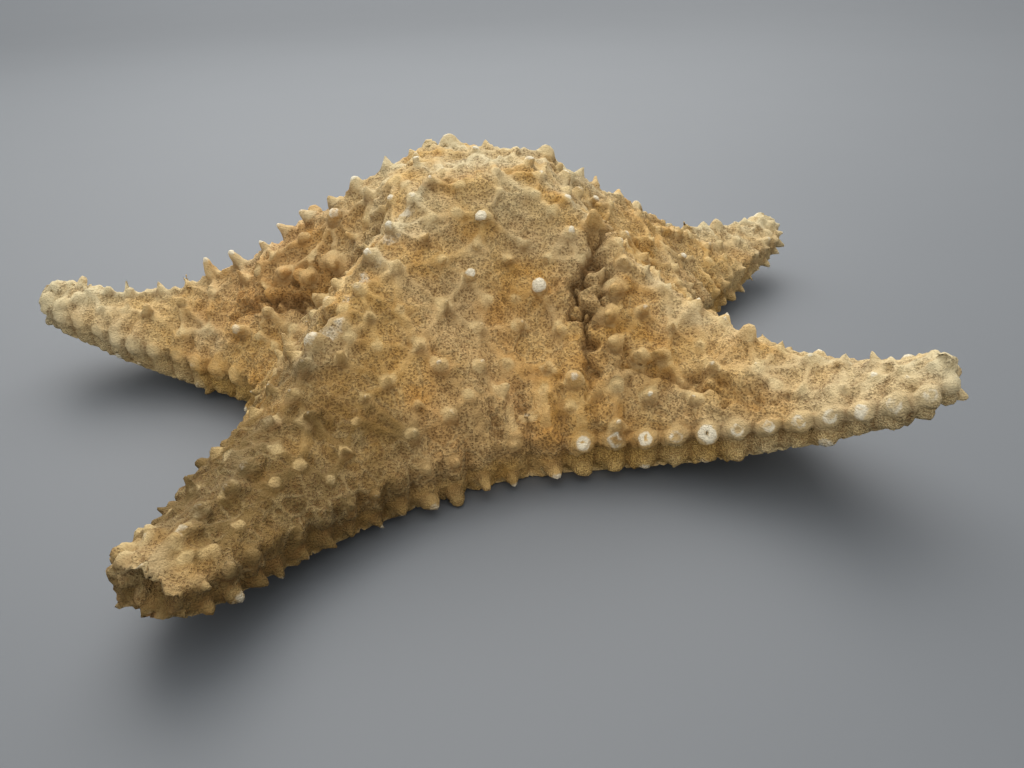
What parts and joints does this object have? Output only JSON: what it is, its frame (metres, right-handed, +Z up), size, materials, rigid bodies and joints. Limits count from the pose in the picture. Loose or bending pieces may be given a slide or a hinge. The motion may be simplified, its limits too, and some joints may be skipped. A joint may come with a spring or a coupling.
{
  "type": "dried starfish",
  "caption": "Dried cushion starfish with a high domed disc, blunt arms curled up at the tips, rows of knobs on top, marginal spines and a flat grooved underside.",
  "frame": {"origin": "on the surface the starfish rests on, under the middle of its bounding box", "axes": "+Z up through the domed top, +X towards the right arm, -Y towards the two front arms"},
  "size_m": [0.2144, 0.2268, 0.057],
  "materials": {
    "starfish_skeleton": "matt, chalky, sandy tan with cream ridges and brown hollows"
  },
  "bodies": {
    "root": {"starfish": "starfish_skeleton"}
  },
  "joints": []
}
